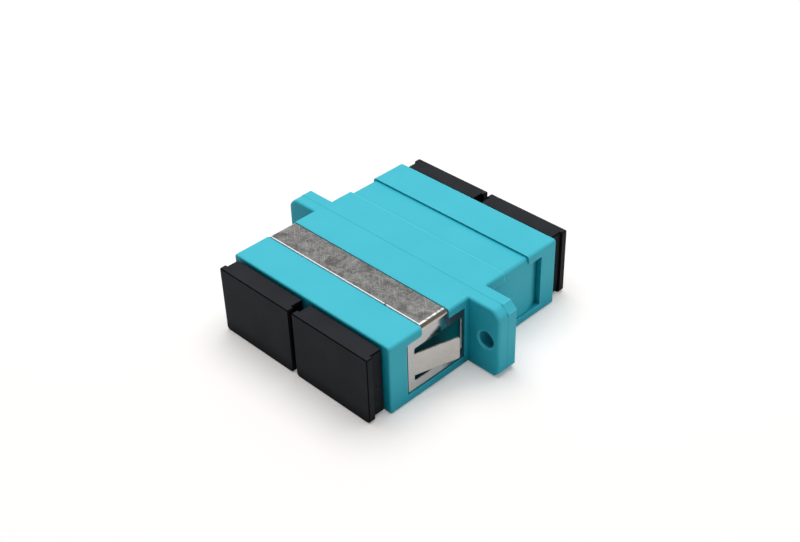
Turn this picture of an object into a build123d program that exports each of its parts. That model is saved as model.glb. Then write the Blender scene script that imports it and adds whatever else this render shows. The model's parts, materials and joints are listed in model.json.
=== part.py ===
from build123d import *
from math import cos, radians, sin, tan
import os

# Duplex SC adapter: two moulded halves with a flange, a folded panel clip, latch inserts, split
# sleeves and dust caps. Millimetres, +Z up. The origin is the middle of the footprint: X runs along
# the flange, the plugs go in along Y, the seam of the halves is Y = 0 and the front half is at -Y.

# Housing halves
housing_width = 26.0
housing_height = 9.4
half_length = 14.05
top_edge_radius = 0.4
bottom_edge_radius = 0.3
mouth_edge_radius = 0.25
seam_chamfer = 0.02

# Flange ears, with a screw hole in each
ear_width = 4.62
flange_half_thickness = 1.5
ear_top_chamfer = 0.97
ear_bottom_chamfer = 0.7
front_ear_corner_radius = 1.1
front_ear_edge_radius = 0.35
rear_ear_edge_radius = 0.15
screw_offset = 2.65
screw_hole_radius = 1.1
screw_hole_chamfer = 0.14

# Locating peg on one ear of each half, and the socket for it on the other
peg_radius = 0.45
peg_length = 0.8
peg_clearance = 0.05

# Ports, one at each end of each channel
port_pitch = 12.7
port_width = 9.0
port_height = 7.4
port_lead_in = 0.3
keyway_width = 2.4
keyway_depth = 0.45
keyway_length = 8.0

# Recess for the panel clip: a band over the top, and a pocket down each side
band_start = 4.68
band_width = 4.32
band_depth = 0.12
pocket_flange_web = 0.58
pocket_length = 9.32
pocket_bottom = 1.15
pocket_top = 8.23
pocket_depth = 0.6
pocket_corner_radius = 0.12
neck_radius = 0.4

# The empty recess of the rear half: shallower, with a ramp at each side down to its end wall
rear_band_depth = 0.27
rear_pocket_depth = 0.2
rear_ramp_depth = 0.65

# Panel clip, folded from sheet
sheet_thickness = 0.22
clip_clearance = 0.1
clip_standoff = 0.25
bend_radius = 0.65
leg_corner_radius = 0.5
leg_front_bar = 1.17
leg_rear_bar = 0.34
leg_top_bar = 1.08
leg_bottom_bar = 1.19
window_radius = 0.25
tongue_slot = 0.8
tongue_length = 5.85
tongue_angle = 16.0
tongue_tip_radius = 0.25

# Split alignment sleeves
sleeve_bore_radius = 1.25
sleeve_wall = 0.35
sleeve_length = 11.4
sleeve_slot = 0.4

# Latch inserts: a base plate, a tube round the sleeve and two hooked arms
insert_base = 1.5
insert_step = 0.45
insert_clearance = 0.05
sleeve_clearance = 0.075
tube_wall = 0.6
tube_lip = 0.6
tube_lip_radius = 1.45
sleeve_end_clearance = 0.1
arm_reach = 8.8
arm_height = 3.0
arm_thickness = 0.8
arm_flex_room = 0.5
arm_inset = 0.2
hook_depth = 0.55
hook_ramp = 0.9
hook_land = 0.5
arm_root_gusset = 0.4

# Dust caps: a grip plate, a block behind it and a hollow plug
cap_plate_gap = 0.6
cap_top_step = 0.35
cap_plate_thickness = 0.85
cap_plate_low_radius = 0.5
cap_plate_top_radius = 0.15
cap_plate_bevel = 0.1
cap_overhang = 0.32
cap_block_length = 1.6
cap_block_radius = 0.2
cap_seat_gap = 0.3
cap_plug_length = 6.2
cap_plug_clearance = 0.1
cap_plug_radius = 0.5
cap_plug_lead_in = 0.3
cap_wall = 0.9
cap_floor = 1.6
cap_arm_clearance = 0.4

axis_height = housing_height / 2
flange_width = housing_width + 2 * ear_width
screw_spacing = housing_width + 2 * screw_offset
cap_plate_height = housing_height - cap_top_step
pocket_start = flange_half_thickness + pocket_flange_web
channels = {"left": -port_pitch / 2, "right": port_pitch / 2}
overrun = 1.0


def prism(face, start, end):
    """A face drawn in the XZ plane, between two distances in front of the seam."""
    return extrude(Plane.XZ.offset(start) * face, end - start)


def across(face):
    """A face drawn in the YZ plane, through the whole width."""
    return extrude(Plane.YZ * face, flange_width, both=True)


def standing(width, height, bottom=0.0):
    """A rectangle centred on X, with its lower edge at the given height."""
    return Pos(0, bottom + height / 2) * Rectangle(width, height)


def upper_corners(face):
    return face.vertices().group_by(Axis.Y)[-1]


def lower_corners(face):
    return face.vertices().group_by(Axis.Y)[0]


def corner(face, x, y):
    return face.vertices().sort_by_distance((x, y, 0))[0]


def recess_core(top_depth, side_depth):
    """The section of the housing that is left inside a clip recess."""
    face = standing(housing_width - 2 * side_depth, housing_height - top_depth)
    return fillet(upper_corners(face), top_edge_radius)


def leg_outline(clearance, radius):
    """Side view of the clip: its leg, with the neck that runs up to the band, less a clearance."""
    front = -(pocket_start + pocket_length - clearance)
    rear = -(pocket_start + clearance)
    neck_front = -(band_start + band_width - clearance)
    neck_rear = -(band_start + clearance)
    low = pocket_bottom + clearance
    high = pocket_top - clearance
    over = housing_height + overrun
    face = Polygon(
        (front, low), (rear, low), (rear, high), (neck_rear, high),
        (neck_rear, over), (neck_front, over), (neck_front, high), (front, high),
    )
    for x, y in ((front, high), (front, low)):
        face = fillet(corner(face, x, y), radius)
    return fillet(corner(face, neck_front, high), neck_radius)


def clip_recess(top_depth, side_depth):
    """The band over the top and the pocket down each side, at the given depths."""
    core = prism(recess_core(top_depth, side_depth), -overrun, half_length + overrun)
    return across(leg_outline(0, pocket_corner_radius)) - core


def front_recess():
    return clip_recess(band_depth, pocket_depth)


def rear_recess():
    """The empty recess, with its ramps from the band's edge to the end wall."""
    side = housing_width / 2
    start = -(band_start + band_width)
    end = -(pocket_start + pocket_length)
    ramp = Polygon(
        (side - rear_pocket_depth, start), (side - rear_ramp_depth, end),
        (side + overrun, end), (side + overrun, start),
        align=None,
    )
    ramp = extrude(Plane.XY.offset(pocket_bottom) * ramp, pocket_top - pocket_bottom)
    return clip_recess(rear_band_depth, rear_pocket_depth) + ramp + mirror(ramp, Plane.YZ)


def ear_section():
    face = standing(flange_width, housing_height)
    face = chamfer(upper_corners(face), ear_top_chamfer)
    return chamfer(lower_corners(face), ear_bottom_chamfer)


def ears_from(face, edge_radius):
    """Both ears of one half, as one plate through the body, with the outer face's edges rounded."""
    plate = prism(face, 0, flange_half_thickness)
    return fillet(plate.faces().sort_by(Axis.Y)[0].edges(), edge_radius)


def front_ears():
    """Softened: the two corners of each top chamfer are rounded."""
    face = ear_section()
    chamfer_ends = [vertex for vertex in face.vertices() if vertex.Y > axis_height]
    return ears_from(fillet(chamfer_ends, front_ear_corner_radius), front_ear_edge_radius)


def rear_ears():
    return ears_from(ear_section(), rear_ear_edge_radius)


def port_cuts():
    """One port, from its mouth to the pocket that holds the base of the latch insert."""
    insert_pocket = Rectangle(port_width + 2 * insert_step, port_height)
    flex_room = Rectangle(port_width + 2 * (arm_flex_room - arm_inset), arm_height + arm_flex_room)
    keyway = standing(keyway_width, keyway_depth + overrun, -port_height / 2 - keyway_depth)
    mouth = half_length + overrun
    cuts = prism(Rectangle(port_width, port_height), 0, mouth)
    cuts += prism(insert_pocket, -overrun, insert_base)
    cuts += prism(flex_room, 0, arm_reach + arm_flex_room)
    cuts += prism(keyway, half_length - keyway_length, mouth)
    flare = prism(
        Rectangle(port_width + 2 * port_lead_in, port_height + 2 * port_lead_in),
        half_length - port_lead_in,
        mouth,
    )
    cuts += chamfer(flare.faces().sort_by(Axis.Y)[-1].edges(), port_lead_in)
    return Pos(0, 0, axis_height) * cuts


def housing_half(ears, recess):
    """One half in front of the seam; the rear one is turned half a turn about Z."""
    face = fillet(upper_corners(standing(housing_width, housing_height)), top_edge_radius)
    face = fillet(lower_corners(face), bottom_edge_radius)
    body = prism(face, 0, half_length)
    body = fillet(body.faces().sort_by(Axis.Y)[0].edges(), mouth_edge_radius)
    half = body + ears
    half = chamfer(half.faces().sort_by(Axis.Y)[-1].edges(), seam_chamfer)

    for x in channels.values():
        half -= Pos(x, 0, 0) * port_cuts()
    half -= recess

    screw_hole = prism(Circle(screw_hole_radius), -overrun, flange_half_thickness + overrun)
    rim = Pos(0, -flange_half_thickness, 0) * Rot(90, 0, 0) * Cone(
        screw_hole_radius, screw_hole_radius + 2 * screw_hole_chamfer, 2 * screw_hole_chamfer
    )
    for x in (-screw_spacing / 2, screw_spacing / 2):
        half -= Pos(x, 0, axis_height) * (screw_hole + rim)

    peg_offset = housing_width / 2 + (screw_offset - screw_hole_radius) / 2
    peg = prism(Circle(peg_radius), -peg_length, flange_half_thickness / 2)
    socket = prism(Circle(peg_radius + peg_clearance), -overrun, peg_length + peg_clearance)
    half += Pos(peg_offset, 0, axis_height) * peg
    half -= Pos(-peg_offset, 0, axis_height) * socket
    return half


def clip_tongue(face_x, root, height):
    """The sprung tongue of one leg, bent outwards about its root at the front bar."""
    lean = radians(tongue_angle)
    reach = (tongue_length * sin(lean), tongue_length * cos(lean))
    depth = (sheet_thickness * cos(lean), sheet_thickness * sin(lean))
    inner_x = face_x - sheet_thickness
    lap = leg_front_bar / 2
    profile = Polygon(
        (face_x, root - lap),
        (face_x, root),
        (face_x + reach[0], root + reach[1]),
        (face_x + reach[0] - depth[0], root + reach[1] + depth[1]),
        (inner_x, root + sheet_thickness * tan(lean / 2)),
        (inner_x, root - lap),
    )
    tongue = extrude(profile, height / 2, both=True)
    tip_edges = [
        edge for edge in tongue.edges()
        if abs(edge.length - sheet_thickness) < 1e-4 and edge.center().Y > root + reach[1] / 2
    ]
    return fillet(tip_edges, tongue_tip_radius)


def panel_clip():
    """A strip over the top with a leg down each side; a tongue stands out of each leg's window."""
    outer_x = housing_width / 2 - pocket_depth + clip_standoff + sheet_thickness
    top = housing_height - band_depth + sheet_thickness
    outside = fillet(upper_corners(standing(2 * outer_x, top)), bend_radius)
    inside = standing(2 * (outer_x - sheet_thickness), top - sheet_thickness + overrun, -overrun)
    inside = fillet(upper_corners(inside), bend_radius - sheet_thickness)
    fold = prism(outside - inside, pocket_start, pocket_start + pocket_length)
    clip = fold & across(leg_outline(clip_clearance, leg_corner_radius))

    window_front = -(pocket_start + pocket_length - clip_clearance - leg_front_bar)
    window_rear = -(pocket_start + clip_clearance + leg_rear_bar)
    window_low = pocket_bottom + clip_clearance + leg_bottom_bar
    window_high = pocket_top - clip_clearance - leg_top_bar
    window_length = window_rear - window_front
    window_height = window_high - window_low
    window = RectangleRounded(window_length, window_height, window_radius)
    window_middle = (window_low + window_high) / 2
    clip -= across(Pos((window_front + window_rear) / 2, window_middle) * window)

    tongue = clip_tongue(outer_x, window_front, window_height - 2 * tongue_slot)
    tongue = Pos(0, 0, window_middle) * tongue
    return clip + tongue + mirror(tongue, Plane.YZ)


def latch_insert():
    """Base plate, sleeve tube and two hooked arms, about one channel's axis."""
    base = prism(
        Rectangle(
            port_width + 2 * (insert_step - insert_clearance),
            port_height - 2 * insert_clearance,
        ),
        0,
        insert_base,
    )
    bore_radius = sleeve_bore_radius + sleeve_wall + sleeve_clearance
    bore_end = sleeve_length / 2 + sleeve_end_clearance
    tube_end = bore_end + tube_lip
    tube = prism(Circle(bore_radius + tube_wall), 0, tube_end)
    tube = chamfer(tube.faces().sort_by(Axis.Y)[0].edges(), tube_lip / 2)

    outer_x = port_width / 2 - arm_inset
    inner_x = outer_x - arm_thickness
    hook_x = inner_x - hook_depth
    hook_back = -arm_reach + hook_ramp + hook_land
    profile = Polygon(
        (outer_x, 0),
        (inner_x - arm_root_gusset, 0),
        (inner_x - arm_root_gusset, -insert_base),
        (inner_x, -insert_base - arm_root_gusset),
        (inner_x, hook_back),
        (hook_x, hook_back),
        (hook_x, -arm_reach + hook_ramp),
        (inner_x, -arm_reach),
        (outer_x, -arm_reach),
    )
    arm = extrude(profile, arm_height / 2, both=True)

    insert = base + tube + arm + mirror(arm, Plane.YZ)
    insert -= prism(Circle(bore_radius), -overrun, bore_end)
    insert -= prism(Circle(tube_lip_radius), bore_end - overrun, tube_end + overrun)
    return insert


def split_sleeve():
    """A tube with one lengthwise slot at its top."""
    ring = Circle(sleeve_bore_radius + sleeve_wall) - Circle(sleeve_bore_radius)
    ring -= standing(sleeve_slot, sleeve_bore_radius + sleeve_wall + overrun)
    return Pos(0, 0, axis_height) * prism(ring, -sleeve_length / 2, sleeve_length / 2)


def dust_cap():
    """Grip plate, block and hollow plug, slotted where the latch arms stand."""
    block_start = half_length + cap_seat_gap
    plate_start = block_start + cap_block_length
    plate_end = plate_start + cap_plate_thickness
    plate_width = port_pitch - cap_plate_gap

    plate_face = standing(plate_width, cap_plate_height)
    plate_face = fillet(upper_corners(plate_face), cap_plate_top_radius)
    plate_face = fillet(lower_corners(plate_face), cap_plate_low_radius)
    plate = prism(plate_face, plate_start, plate_end)
    plate = chamfer(plate.faces().sort_by(Axis.Y)[0].edges(), cap_plate_bevel)

    block_face = standing(plate_width - 2 * cap_overhang, cap_plate_height - cap_overhang, cap_overhang)
    block_face = fillet(block_face.vertices(), cap_block_radius)
    block = prism(block_face, block_start, plate_start)

    plug_end = half_length - cap_plug_length
    plug_width = port_width - 2 * cap_plug_clearance
    plug_height = port_height - 2 * cap_plug_clearance
    plug = prism(RectangleRounded(plug_width, plug_height, cap_plug_radius), plug_end, block_start)
    plug = chamfer(plug.faces().sort_by(Axis.Y)[-1].edges(), cap_plug_lead_in)

    hollow = Rectangle(plug_width - 2 * cap_wall, plug_height - 2 * cap_wall)
    slot = Rectangle(port_width, arm_height + 2 * cap_arm_clearance)
    cap = block + plate + Pos(0, 0, axis_height) * plug
    cap -= Pos(0, 0, axis_height) * prism(hollow, 0, plate_end - cap_floor)
    cap -= Pos(0, 0, axis_height) * prism(slot, 0, arm_reach + cap_arm_clearance)
    return cap


front_half = housing_half(front_ears(), front_recess())
rear_half = Rot(0, 0, 180) * housing_half(rear_ears(), rear_recess())
nodes = {"front_housing": front_half, "rear_housing": rear_half, "panel_clip": panel_clip()}

insert = Pos(0, 0, axis_height) * latch_insert()
cap = dust_cap()
sleeve = split_sleeve()
for side, x in channels.items():
    nodes[f"{side}_sleeve"] = Pos(x, 0, 0) * sleeve
    for end, turn in {"front": 0, "rear": 180}.items():
        nodes[f"{end}_{side}_latch"] = Pos(x, 0, 0) * Rot(0, 0, turn) * insert
        nodes[f"{end}_{side}_cap"] = Pos(x, 0, 0) * Rot(0, 0, turn) * cap

os.makedirs("parts", exist_ok=True)
for name, shape in nodes.items():
    export_step(shape, f"parts/{name}.step")
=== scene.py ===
import json
from typing import NamedTuple

import bpy
from mathutils import Matrix, Vector


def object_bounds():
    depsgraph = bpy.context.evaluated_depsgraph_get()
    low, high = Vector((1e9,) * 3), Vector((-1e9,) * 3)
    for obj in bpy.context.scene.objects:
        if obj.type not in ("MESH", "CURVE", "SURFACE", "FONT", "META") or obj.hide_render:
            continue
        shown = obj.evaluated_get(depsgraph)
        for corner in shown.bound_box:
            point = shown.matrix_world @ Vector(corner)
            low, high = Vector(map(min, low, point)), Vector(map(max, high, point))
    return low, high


MM = 0.001
BLACK = (0, 0, 0, 1)


class Pattern(NamedTuple):
    """A noise: the size of its features, how fine and bent they are, and how deep it is pressed in."""

    size: float
    detail: float
    roughness: float = 0.5
    distortion: float = 0.0
    depth: float = 0.0
    strength: float = 0.0


# Camera, fitted to the edges of the object in the photograph
CAMERA_POSITION = Vector((88.143, -84.971, 94.767)) * MM
CAMERA_RIGHT = Vector((0.70915, 0.70461, -0.02507))
CAMERA_BACK = Vector((0.58047, -0.56329, 0.58802))
CAMERA_LENS = 56.63
SENSOR_WIDTH = 36.0
CAMERA_NEAR = 0.005
CAMERA_FAR = 10

# Floor, lifted towards white by FLOOR_LIFT up to the start of FAR_SPAN and by FAR_LIFT beyond its end
FLOOR_RADIUS = 1.5
FLOOR_SIDES = 96
FLOOR_COLOUR = (0.815, 0.79, 0.775, 1)
FLOOR_LIFT = 0.23
FAR_LIFT = 0.72
FAR_SPAN = (0.12, 0.7)
LIFTED_RAYS = ("Is Camera Ray", "Is Glossy Ray", "Is Transmission Ray")

# Lamp overhead, a little behind the object
SOFTBOX_PLACE = Vector((-0.05, 0.06, 0.40))
SOFTBOX_SIZE = 0.45
SOFTBOX_POWER = 1.75

# Sky colours, each with its height between the horizon at 0 and straight up at 1
SKY_STOPS = (
    (0.08, (0.95, 0.95, 0.95, 1)),
    (0.22, (0.17, 0.17, 0.175, 1)),
    (0.9, (0.22, 0.22, 0.22, 1)),
)

# Sky's light, dimmed straight in front, where Y is -1, and full from the sides on, where Y is 0
FRONT_TO_SIDE = (-1.0, 0.0)
FRONT_TO_SIDE_LIGHT = (0.3, 1.0)

# Soft bright patch in the sky, from its rim to its middle
PATCH_DIRECTION = (-0.58, 0.563, 0.588)
PATCH_STOPS = ((0.72, BLACK), (0.97, (0.42, 0.42, 0.415, 1)))

# Spans that the shaders share: how a mask runs, and which part of a noise or of a lean it uses
WHOLE = (0.0, 1.0)
RISING = (0.0, 1.0)
FALLING = (1.0, 0.0)
DRIFT_SPAN = (0.35, 0.65)
GRAIN_SPAN = (0.3, 0.7)
EDGE_TURN = (0.94, 0.99)
ROUND_LEAN = (0.88, 0.99)

# Samples of the nodes that look round themselves
GAP_SAMPLES = 6
LINE_SAMPLES = 4
BEVEL_SAMPLES = 6

# Housing plastic, with painted shade in hollows, in creases, on the pocket floors and on its ends, and
# a painted highlight along its ridges
AQUA_DRIFT = Pattern(size=6.0 * MM, detail=2, depth=0.02 * MM, strength=0.6)
AQUA_GRAIN = Pattern(size=0.09 * MM, detail=4, roughness=0.6, depth=0.004 * MM, strength=0.5)
AQUA_TONES = ((0.063, 0.532, 0.654, 1), (0.069, 0.550, 0.672, 1))
AQUA_SHADED = (0.0, 0.39, 0.52, 1)
AQUA_CREASE_SHADE = (0.0, 0.37, 0.48, 1)
AQUA_DEEP_SHADE = (0.0, 0.10, 0.17, 1)
AQUA_POCKET_SHADE = (0.0, 0.16, 0.19, 1)
AQUA_RIDGE_HIGHLIGHT = (0.22, 0.80, 0.90, 1)
AQUA_ROUGHNESS = (0.44, 0.54)
AQUA_EDGE = 0.10 * MM
HOLLOW_REACH = 6.0 * MM
HOLLOW_POWER = 1.4
HOLLOW_DEEP = (0.10, 0.36)
CREASE_REACH = 0.6 * MM
# Faces that look along Y, and how much painted shade they get
END_LEAN = (0.7, 0.95)
END_SHADE = (0.0, 0.35)
# Width of the painted ridge highlight, and how open an edge must be to get it
RIDGE_RADIUS = 0.14 * MM
RIDGE_OPENNESS = (0.85, 0.97)
SEAM_SPAN = (0.2 * MM, 0.3 * MM)

# Floors of the pockets that the clip's legs lie in, as distances from the middle; they get a painted
# shade
POCKET_FLOOR = 12.4 * MM
POCKET_INNER = (POCKET_FLOOR - 0.2 * MM, POCKET_FLOOR - 0.1 * MM)
POCKET_OUTER = (POCKET_FLOOR, POCKET_FLOOR + 0.2 * MM)

# Cap plastic, with painted shade in its gaps and a painted dark line along its bevelled edges, and a
# small gate mark on each side; the mark's spans are half its length and height
CAP_DRIFT = Pattern(size=4.0 * MM, detail=2, depth=0.02 * MM, strength=0.5)
CAP_GRAIN = Pattern(size=0.10 * MM, detail=4, roughness=0.65, depth=0.006 * MM, strength=0.5)
CAP_TONES = ((0.0235, 0.0255, 0.0300, 1), (0.0285, 0.0305, 0.0350, 1))
CAP_SHADED = (0.001, 0.001, 0.001, 1)
CAP_ROUGHNESS = (0.5, 0.62)
CAP_EDGE = 0.04 * MM
CAP_GAP_REACH = 2.0 * MM
CAP_GAP_POWER = 2.0
GATE_MARK_Y = 15.25 * MM
GATE_MARK_Z = 4.45 * MM
GATE_MARK_LENGTH = (0.12 * MM, 0.22 * MM)
GATE_MARK_HEIGHT = (0.06 * MM, 0.12 * MM)

# Clip steel: its mottling and its scratches
STEEL_CLOUD = Pattern(size=1.6 * MM, detail=8, roughness=0.68, distortion=0.4)
STEEL_FLECK = Pattern(
    size=0.24 * MM, detail=3, roughness=0.6, distortion=0.6, depth=0.002 * MM, strength=0.4
)
STEEL_SCRATCH = Pattern(size=1.0 * MM, detail=1, roughness=0.4, depth=0.001 * MM, strength=0.4)
SCRATCH_TURNS = (0.5, 1.4, 2.4)
SCRATCH_STRETCH = (1.6, 0.11, 0.11)
SCRATCH_SPAN = (0.62, 0.72)
SCRATCHED_CLOUD = (0.38, 0.52)
CLOUD_SHARE = 0.6
FLECK_SHARE = 0.4
MOTTLE_SPAN = (0.42, 0.58)
MOTTLE_TONES = ((0.186, 0.182, 0.177, 1), (0.455, 0.449, 0.440, 1))
POLISH_SPAN = (0.40, 0.60)
STEEL_ROUGHNESS = (0.22, 0.12)
STEEL_METALLIC = (0.7, 1.0)
STEEL_EDGE = 0.06 * MM

# Clip steel: colours of its places and marks; the dark rear of the legs, the fold, the cut edge and
# the gap lines are painted shade, reflection and highlight
SCRATCH_COLOUR = (0.62, 0.615, 0.605, 1)
LEG_COLOUR = (0.48, 0.478, 0.474, 1)
LEG_REAR_PAINTED_SHADE = (0.01, 0.05, 0.07, 1)
FOLD_PAINTED_REFLECTION = (0.31, 0.25, 0.185, 1)
CUT_EDGE_HIGHLIGHT = (1.0, 1.0, 0.99, 1)
GAP_PAINTED_SHADOW = (0.0, 0.09, 0.11, 1)

# Clip steel: how far its faces lean towards X or Y at its places, and what changes there
LEG_SHARE = 0.85
LEG_LEAN = (0.88, 0.95)
LEG_FLAT_LEAN = (0.97, 0.99)
LEG_REAR_SHADE = (0.0, 0.68)
FOLD_START_LEAN = (0.45, 0.65)
FOLD_END_LEAN = (0.90, 0.98)
CUT_LEAN = (0.5, 0.9)
LEG_POLISH = (1.0, 0.6)
LEG_REAR_ROUGHNESS = 0.5
CUT_ROUGHNESS = 0.45
LINE_METAL_LOSS = 0.6
GAP_METAL_LOSS = 0.4

# Latch inserts
LATCH_DRIFT = Pattern(size=3.0 * MM, detail=2)
LATCH_GRAIN = Pattern(size=0.12 * MM, detail=3, depth=0.004 * MM, strength=0.5)
LATCH_TONES = ((0.72, 0.72, 0.67, 1), (0.78, 0.78, 0.74, 1))
LATCH_ROUGHNESS = (0.36, 0.48)
LATCH_EDGE = 0.08 * MM

# Sleeves
SLEEVE_RINGS = Pattern(size=1.0 * MM, detail=3, depth=0.001 * MM, strength=0.4)
SLEEVE_STRETCH = (3.3, 0.05, 3.3)
SLEEVE_TONES = ((0.82, 0.81, 0.78, 1), (0.88, 0.87, 0.84, 1))
SLEEVE_ROUGHNESS = (0.10, 0.18)
SLEEVE_EDGE = 0.05 * MM

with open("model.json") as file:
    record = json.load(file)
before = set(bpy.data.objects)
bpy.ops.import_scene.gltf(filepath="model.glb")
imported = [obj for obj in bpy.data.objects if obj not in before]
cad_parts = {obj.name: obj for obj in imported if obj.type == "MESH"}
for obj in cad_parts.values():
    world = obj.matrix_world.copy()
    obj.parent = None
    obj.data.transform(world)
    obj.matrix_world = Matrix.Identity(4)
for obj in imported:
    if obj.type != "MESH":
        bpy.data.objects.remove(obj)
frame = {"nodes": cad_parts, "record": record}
cad_low, cad_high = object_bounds()
nodes = frame["nodes"]

# Borders of the clip, read off its mesh
FACE_TOLERANCE = 0.01 * MM
clip_points = [corner.co for corner in nodes["panel_clip"].data.vertices]
CLIP_TOP = max(point.z for point in clip_points)
strip_points = [point for point in clip_points if point.z > CLIP_TOP - FACE_TOLERANCE]
STRIP_FRONT = min(point.y for point in strip_points)
STRIP_BACK = max(point.y for point in strip_points)
LEG_FRONT = min(point.y for point in clip_points)
LEG_BACK = max(point.y for point in clip_points)

# Painted highlight, shadow and reflection on the clip: where each of them starts and ends to fade
TOP_FACE = (CLIP_TOP - 0.10 * MM, CLIP_TOP - 0.05 * MM)
CUT_LINE = (STRIP_FRONT + 0.11 * MM, STRIP_FRONT + 0.17 * MM)
CUT_BREAK_X = 7.17 * MM
CUT_BREAK = (0.10 * MM, 0.15 * MM)
BACK_LINE = (STRIP_BACK - 0.22 * MM, STRIP_BACK - 0.14 * MM)
LEG_LINE = (LEG_FRONT + 0.13 * MM, LEG_FRONT + 0.21 * MM)
LEG_REAR = (LEG_BACK - 3.6 * MM, LEG_BACK - 2.2 * MM)


class Tree:
    """Short calls for the nodes of a material or of the world."""

    def __init__(self, tree):
        self.tree = tree

    def node(self, kind, **settings):
        made = self.tree.nodes.new(kind)
        for key, value in settings.items():
            setattr(made, key, value)
        return made

    def feed(self, socket, value):
        """Gives a socket another node's output, or else a fixed value."""
        if isinstance(value, bpy.types.NodeSocket):
            self.tree.links.new(value, socket)
        else:
            socket.default_value = value

    def spread(self, value, span, to=RISING):
        """Maps a span of a value to another span, with the ends held."""
        made = self.node("ShaderNodeMapRange")
        keys = ("Value", "From Min", "From Max", "To Min", "To Max")
        for key, given in zip(keys, (value, *span, *to)):
            self.feed(made.inputs[key], given)
        return made.outputs["Result"]

    def math(self, operation, *values):
        made = self.node("ShaderNodeMath", operation=operation)
        for socket, value in zip(made.inputs, values):
            self.feed(socket, value)
        return made.outputs["Value"]

    def product(self, first, *others):
        for other in others:
            first = self.math("MULTIPLY", first, other)
        return first

    def largest(self, first, *others):
        for other in others:
            first = self.math("MAXIMUM", first, other)
        return first

    def away(self, value, centre=0.0):
        """How far a value is from a centre, either way."""
        return self.math("ABSOLUTE", self.math("SUBTRACT", value, centre))

    def mix(self, factor, first, second, blend_type="MIX"):
        """Mixes two colours; each is a tuple or another node's output."""
        made = self.node("ShaderNodeMix", data_type="RGBA", blend_type=blend_type)
        self.feed(made.inputs["Factor"], factor)
        colours = [socket for socket in made.inputs if socket.type == "RGBA"]
        self.feed(colours[0], first)
        self.feed(colours[1], second)
        return next(socket for socket in made.outputs if socket.type == "RGBA")

    def ramp(self, value, stops, interpolation="LINEAR"):
        """A colour for a value, blended between stops of (value, colour)."""
        made = self.node("ShaderNodeValToRGB")
        made.color_ramp.interpolation = interpolation
        elements = made.color_ramp.elements
        for element, (position, colour) in zip(elements, (stops[0], stops[-1])):
            element.position = position
            element.color = colour
        for position, colour in stops[1:-1]:
            elements.new(position).color = colour
        self.feed(made.inputs["Fac"], value)
        return made.outputs["Color"]


class Shader(Tree):
    """A material with one Principled shader."""

    def __init__(self, name):
        self.material = bpy.data.materials.new(name)
        self.material.use_nodes = True
        super().__init__(self.material.node_tree)
        self.surface = self.tree.nodes["Principled BSDF"]
        coordinates = self.node("ShaderNodeTexCoord")
        self.place = coordinates.outputs["Object"]
        self.facing = coordinates.outputs["Normal"]

    def set(self, **values):
        for key, value in values.items():
            self.feed(self.surface.inputs[key.replace("_", " ")], value)

    def stretched(self, turn, stretch):
        """The place turned about Z and then stretched, for marks that run one way."""
        mapping = self.node("ShaderNodeMapping", vector_type="TEXTURE")
        self.feed(mapping.inputs["Vector"], self.place)
        self.feed(mapping.inputs["Rotation"], (0, 0, turn))
        self.feed(mapping.inputs["Scale"], stretch)
        return mapping.outputs["Vector"]

    def noise(self, pattern, place=None):
        """A pattern's value, between 0 and 1."""
        made = self.node("ShaderNodeTexNoise")
        self.feed(made.inputs["Vector"], place or self.place)
        self.feed(made.inputs["Scale"], 1 / pattern.size)
        self.feed(made.inputs["Detail"], pattern.detail)
        self.feed(made.inputs["Roughness"], pattern.roughness)
        self.feed(made.inputs["Distortion"], pattern.distortion)
        return made.outputs["Fac"]

    def openness(self, reach):
        """1 on free faces, falling towards 0 deep in gaps and hollows."""
        probe = self.node("ShaderNodeAmbientOcclusion", samples=GAP_SAMPLES)
        self.feed(probe.inputs["Distance"], reach)
        return probe.outputs["AO"]

    def edges(self, radius):
        """1 in a narrow line along every edge, 0 on the faces."""
        bevel = self.node("ShaderNodeBevel", samples=LINE_SAMPLES)
        self.feed(bevel.inputs["Radius"], radius)
        turn = self.node("ShaderNodeVectorMath", operation="DOT_PRODUCT")
        self.feed(turn.inputs[0], bevel.outputs["Normal"])
        self.feed(turn.inputs[1], self.node("ShaderNodeNewGeometry").outputs["Normal"])
        return self.spread(turn.outputs["Value"], EDGE_TURN, FALLING)

    def lean(self, axis):
        """How far a face looks along X, Y or Z, either way: 1 straight, 0 square to it."""
        split = self.node("ShaderNodeSeparateXYZ")
        self.feed(split.inputs["Vector"], self.facing)
        return self.math("ABSOLUTE", split.outputs[axis])

    def rounds(self):
        """1 on chamfers and rounded edges, 0 on faces square to an axis."""
        flat = self.largest(self.lean("X"), self.lean("Y"), self.lean("Z"))
        return self.spread(flat, ROUND_LEAN, FALLING)

    def along(self, axis):
        """The place along X, Y or Z, in the part's own frame."""
        split = self.node("ShaderNodeSeparateXYZ")
        self.feed(split.inputs["Vector"], self.place)
        return split.outputs[axis]

    def relief(self, edge, *layers):
        """Rounded edges of the given radius, with layers of (value, pattern) pressed in on top."""
        bevel = self.node("ShaderNodeBevel", samples=BEVEL_SAMPLES)
        self.feed(bevel.inputs["Radius"], edge)
        normal = bevel.outputs["Normal"]
        for value, pattern in layers:
            bump = self.node("ShaderNodeBump")
            self.feed(bump.inputs["Strength"], pattern.strength)
            self.feed(bump.inputs["Distance"], pattern.depth)
            self.feed(bump.inputs["Height"], value)
            self.feed(bump.inputs["Normal"], normal)
            normal = bump.outputs["Normal"]
        self.set(Normal=normal)


def pocket_floor(look):
    """1 on the floors of the pockets, 0 on the walls and everywhere else."""
    depth = look.away(look.along("X"))
    slab = look.product(look.spread(depth, POCKET_OUTER, FALLING), look.spread(depth, POCKET_INNER))
    return look.product(slab, look.lean("X"))


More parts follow.
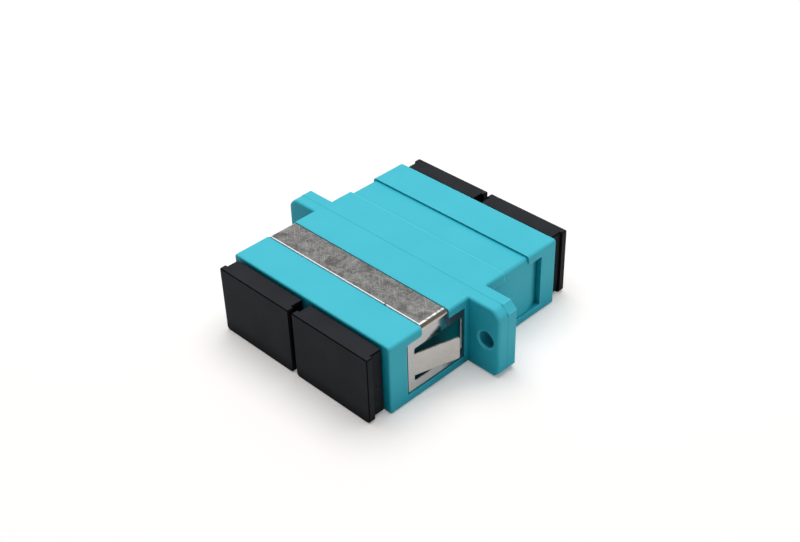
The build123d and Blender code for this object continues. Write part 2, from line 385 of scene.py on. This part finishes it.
def aqua_plastic():
    """Satin moulded housing, with the fine grain of a spark-eroded mould; painted shade darkens its
    hollows, creases, pocket floors and ends, and a painted highlight lightens its ridges.
    """
    look = Shader("housing_plastic")
    drift = look.noise(AQUA_DRIFT)
    grain = look.noise(AQUA_GRAIN)
    hollow = look.openness(HOLLOW_REACH)
    crease = look.openness(CREASE_REACH)
    off_seam = look.spread(look.away(look.along("Y")), SEAM_SPAN)
    # Painted highlight along open convex edges, away from the seam in the middle
    ridge_highlight = look.product(look.edges(RIDGE_RADIUS), off_seam, look.spread(crease, RIDGE_OPENNESS))

    tone = look.mix(look.spread(drift, DRIFT_SPAN), *AQUA_TONES)
    # Painted shade: the more closely a point is hemmed in by faces, the darker its colour
    tone = look.mix(look.math("POWER", hollow, HOLLOW_POWER), AQUA_SHADED, tone)
    # Painted shade on the faces that look along Y
    tone = look.mix(look.spread(look.lean("Y"), END_LEAN, END_SHADE), tone, AQUA_SHADED)
    # Painted deep shade where the hollows are most closed in
    tone = look.mix(look.spread(hollow, HOLLOW_DEEP), AQUA_DEEP_SHADE, tone)
    # Painted shade in creases and narrow gaps, within CREASE_REACH of other faces
    tone = look.mix(crease, AQUA_CREASE_SHADE, tone)
    # Painted shade on the pocket floors behind the clip's legs
    tone = look.mix(pocket_floor(look), tone, AQUA_POCKET_SHADE)
    tone = look.mix(ridge_highlight, tone, AQUA_RIDGE_HIGHLIGHT)
    look.set(Base_Color=tone, Roughness=look.spread(grain, GRAIN_SPAN, AQUA_ROUGHNESS))
    look.set(Specular_IOR_Level=0.1, IOR=1.52)
    look.relief(AQUA_EDGE, (drift, AQUA_DRIFT), (grain, AQUA_GRAIN))
    return look.material


def gate_mark(look):
    """1 on the gate mark in the middle of a cap's side."""
    across = look.away(look.away(look.along("Y")), GATE_MARK_Y)
    up = look.away(look.along("Z"), GATE_MARK_Z)
    length = look.spread(across, GATE_MARK_LENGTH, FALLING)
    height = look.spread(up, GATE_MARK_HEIGHT, FALLING)
    return look.product(length, height, look.lean("X"))


def black_plastic():
    """Soft matt dust caps with a fine grain, with painted shade along their edges and in gaps."""
    look = Shader("cap_plastic")
    drift = look.noise(CAP_DRIFT)
    grain = look.noise(CAP_GRAIN)
    tone = look.mix(look.spread(drift, DRIFT_SPAN), *CAP_TONES)
    # Painted shade where a cap is hemmed in by nearby faces, as in its gaps
    tone = look.mix(look.math("POWER", look.openness(CAP_GAP_REACH), CAP_GAP_POWER), CAP_SHADED, tone)
    # Painted shade: a dark line on every chamfer and rounded edge
    tone = look.mix(look.rounds(), tone, CAP_SHADED)
    # The gate mark is a real small notch; its dark colour is painted shade inside it
    tone = look.mix(gate_mark(look), tone, CAP_SHADED)
    look.set(Base_Color=tone, Roughness=look.spread(grain, GRAIN_SPAN, CAP_ROUGHNESS))
    look.set(Specular_IOR_Level=0.04, IOR=1.5)
    look.relief(CAP_EDGE, (drift, CAP_DRIFT), (grain, CAP_GRAIN))
    return look.material


def cut_edge_highlight(look, top):
    """1 on the painted highlight along the cut edges, with a line along the front of the strip and a
    small break in it.
    """
    line = look.product(top, look.spread(look.along("Y"), CUT_LINE, FALLING))
    edge = look.largest(look.spread(look.lean("Y"), CUT_LEAN), line)
    return look.product(edge, look.spread(look.away(look.along("X"), CUT_BREAK_X), CUT_BREAK))


def gap_shadow_lines(look, top, leg):
    """1 along the painted shadow in the gaps behind the strip and in front of each leg."""
    behind = look.product(top, look.spread(look.along("Y"), BACK_LINE))
    before = look.product(leg, look.spread(look.along("Y"), LEG_LINE, FALLING))
    return look.largest(behind, before)


def spring_steel():
    """Plated spring steel: mottled, rubbed and finely scratched from tumbling, with painted reflection
    and shade on its legs' rear ends and fold, a painted highlight on its cut edges and painted shadow
    in its gaps.
    """
    look = Shader("clip_steel")
    cloud = look.noise(STEEL_CLOUD)
    fleck = look.noise(STEEL_FLECK)
    rubs = [look.noise(STEEL_SCRATCH, look.stretched(turn, SCRATCH_STRETCH)) for turn in SCRATCH_TURNS]
    scratch = look.largest(*rubs)
    mottle = look.math("ADD", look.product(cloud, CLOUD_SHARE), look.product(fleck, FLECK_SHARE))

    top = look.spread(look.along("Z"), TOP_FACE)
    leg = look.spread(look.lean("X"), LEG_LEAN)
    # Painted shade and reflection: the rear of each leg, next to the flange, darkened as the shaded
    # flange mirrored in it
    painted_rear_shade = look.spread(look.along("Y"), LEG_REAR, LEG_REAR_SHADE)
    painted_rear_shade = look.product(painted_rear_shade, look.spread(look.lean("X"), LEG_FLAT_LEAN))
    # Painted reflection: a brown band on the bend from the strip into each leg
    fold_reflection = look.spread(look.lean("X"), FOLD_START_LEAN)
    fold_reflection = look.product(fold_reflection, look.spread(look.lean("X"), FOLD_END_LEAN, FALLING))
    # Painted highlight on the cut edges
    cut_highlight = cut_edge_highlight(look, top)
    # Painted shadow in the gaps along the strip and the legs
    gap_shadow = gap_shadow_lines(look, top, leg)
    scratched = look.product(look.spread(scratch, SCRATCH_SPAN), look.spread(cloud, SCRATCHED_CLOUD))

    tone = look.mix(look.spread(mottle, MOTTLE_SPAN), *MOTTLE_TONES)
    marks = (
        (scratched, SCRATCH_COLOUR),
        (look.product(leg, LEG_SHARE), LEG_COLOUR),
        (painted_rear_shade, LEG_REAR_PAINTED_SHADE),
        (fold_reflection, FOLD_PAINTED_REFLECTION),
        (cut_highlight, CUT_EDGE_HIGHLIGHT),
        (gap_shadow, GAP_PAINTED_SHADOW),
    )
    for mark, colour in marks:
        tone = look.mix(mark, tone, colour)

    rough = look.spread(mottle, POLISH_SPAN, STEEL_ROUGHNESS)
    rough = look.product(rough, look.spread(leg, WHOLE, LEG_POLISH))
    rough = look.largest(rough, look.product(painted_rear_shade, LEG_REAR_ROUGHNESS))
    rough = look.largest(rough, look.product(cut_highlight, CUT_ROUGHNESS))
    metal = look.spread(leg, WHOLE, STEEL_METALLIC)
    metal = look.math("SUBTRACT", metal, look.product(look.largest(cut_highlight, gap_shadow), LINE_METAL_LOSS))
    metal = look.math("SUBTRACT", metal, look.product(gap_shadow, GAP_METAL_LOSS))
    look.set(Base_Color=tone, Roughness=rough, Metallic=metal)
    look.set(Specular_IOR_Level=0.2)
    look.relief(STEEL_EDGE, (fleck, STEEL_FLECK), (scratch, STEEL_SCRATCH))
    return look.material


def latch_plastic():
    """Natural moulding of the latch inserts."""
    look = Shader("insert_plastic")
    grain = look.noise(LATCH_GRAIN)
    tone = look.mix(look.spread(look.noise(LATCH_DRIFT), DRIFT_SPAN), *LATCH_TONES)
    look.set(Base_Color=tone, Roughness=look.spread(grain, GRAIN_SPAN, LATCH_ROUGHNESS))
    look.set(Specular_IOR_Level=0.4, Subsurface_Weight=0.1, Subsurface_Scale=0.5 * MM)
    look.relief(LATCH_EDGE, (grain, LATCH_GRAIN))
    return look.material


def sleeve_ceramic():
    """Ground zirconia sleeve, with fine grinding rings round its axis."""
    look = Shader("sleeve_zirconia")
    rings = look.noise(SLEEVE_RINGS, look.stretched(0, SLEEVE_STRETCH))
    tone = look.mix(look.spread(rings, GRAIN_SPAN), *SLEEVE_TONES)
    look.set(Base_Color=tone, Roughness=look.spread(rings, GRAIN_SPAN, SLEEVE_ROUGHNESS))
    look.set(IOR=2.1, Coat_Weight=0.2)
    look.relief(SLEEVE_EDGE, (rings, SLEEVE_RINGS))
    return look.material


def floor_surface():
    """Pale floor. What the camera and reflections see is lifted towards white and keeps the shadow."""
    material = bpy.data.materials.new("floor_paper")
    material.use_nodes = True
    material.node_tree.nodes.clear()
    tree = Tree(material.node_tree)
    path = tree.node("ShaderNodeLightPath")
    seen = tree.largest(*(path.outputs[ray] for ray in LIFTED_RAYS))
    distance = tree.node("ShaderNodeVectorMath", operation="LENGTH")
    tree.feed(distance.inputs[0], tree.node("ShaderNodeTexCoord").outputs["Object"])
    lift = tree.spread(distance.outputs["Value"], FAR_SPAN, (FLOOR_LIFT, FAR_LIFT))
    glow = tree.node("ShaderNodeEmission")
    tree.feed(glow.inputs["Strength"], tree.product(seen, lift))
    paper = tree.node("ShaderNodeBsdfDiffuse")
    tree.feed(paper.inputs["Color"], FLOOR_COLOUR)
    both = tree.node("ShaderNodeAddShader")
    tree.feed(both.inputs[0], paper.outputs["BSDF"])
    tree.feed(both.inputs[1], glow.outputs["Emission"])
    tree.feed(tree.node("ShaderNodeOutputMaterial").inputs["Surface"], both.outputs["Shader"])
    return material


def make_floor():
    bpy.ops.mesh.primitive_circle_add(vertices=FLOOR_SIDES, radius=FLOOR_RADIUS, fill_type="NGON")
    floor = bpy.context.object
    floor.name = "floor"
    floor.location.z = cad_low.z
    floor.data.materials.append(floor_surface())


def make_softbox():
    """One large round lamp that looks at the object."""
    light = bpy.data.lights.new("softbox", "AREA")
    light.shape = "DISK"
    light.size = SOFTBOX_SIZE
    light.energy = SOFTBOX_POWER
    lamp = bpy.data.objects.new("softbox", light)
    lamp.location = SOFTBOX_PLACE
    lamp.rotation_euler = (-SOFTBOX_PLACE).to_track_quat("-Z", "Y").to_euler()
    bpy.context.scene.collection.objects.link(lamp)


def make_world():
    """A sky that is white along the horizon and grey above, dimmer in front, with the bright patch."""
    world = bpy.data.worlds.new("studio")
    bpy.context.scene.world = world
    world.use_nodes = True
    tree = Tree(world.node_tree)
    direction = tree.node("ShaderNodeTexCoord").outputs["Generated"]
    split = tree.node("ShaderNodeSeparateXYZ")
    tree.feed(split.inputs["Vector"], direction)

    sky = tree.node("ShaderNodeVectorMath", operation="SCALE")
    tree.feed(sky.inputs[0], tree.ramp(split.outputs["Z"], SKY_STOPS))
    tree.feed(sky.inputs["Scale"], tree.spread(split.outputs["Y"], FRONT_TO_SIDE, FRONT_TO_SIDE_LIGHT))

    toward = tree.node("ShaderNodeVectorMath", operation="DOT_PRODUCT")
    tree.feed(toward.inputs[0], direction)
    tree.feed(toward.inputs[1], PATCH_DIRECTION)
    patch = tree.ramp(toward.outputs["Value"], PATCH_STOPS, interpolation="EASE")
    light = tree.mix(1.0, sky.outputs["Vector"], patch, blend_type="LIGHTEN")
    tree.feed(world.node_tree.nodes["Background"].inputs["Color"], light)


def make_camera():
    camera = bpy.data.objects.new("camera", bpy.data.cameras.new("camera"))
    back = CAMERA_BACK.normalized()
    right = (CAMERA_RIGHT - CAMERA_RIGHT.dot(back) * back).normalized()
    turn = Matrix((right, back.cross(right), back)).transposed()
    camera.matrix_world = Matrix.Translation(CAMERA_POSITION) @ turn.to_4x4()
    camera.data.sensor_width = SENSOR_WIDTH
    camera.data.lens = CAMERA_LENS
    camera.data.clip_start = CAMERA_NEAR
    camera.data.clip_end = CAMERA_FAR
    bpy.context.scene.collection.objects.link(camera)
    bpy.context.scene.camera = camera


make_camera()
make_floor()
make_softbox()
make_world()

surfaces = {
    "aqua_plastic": aqua_plastic(),
    "black_plastic": black_plastic(),
    "spring_steel": spring_steel(),
    "latch_plastic": latch_plastic(),
    "sleeve_ceramic": sleeve_ceramic(),
}
for part in frame["record"]["subparts"]:
    nodes[part["node"]].data.materials[0] = surfaces[part["material_slot"]]

bpy.context.scene.view_settings.view_transform = "Standard"
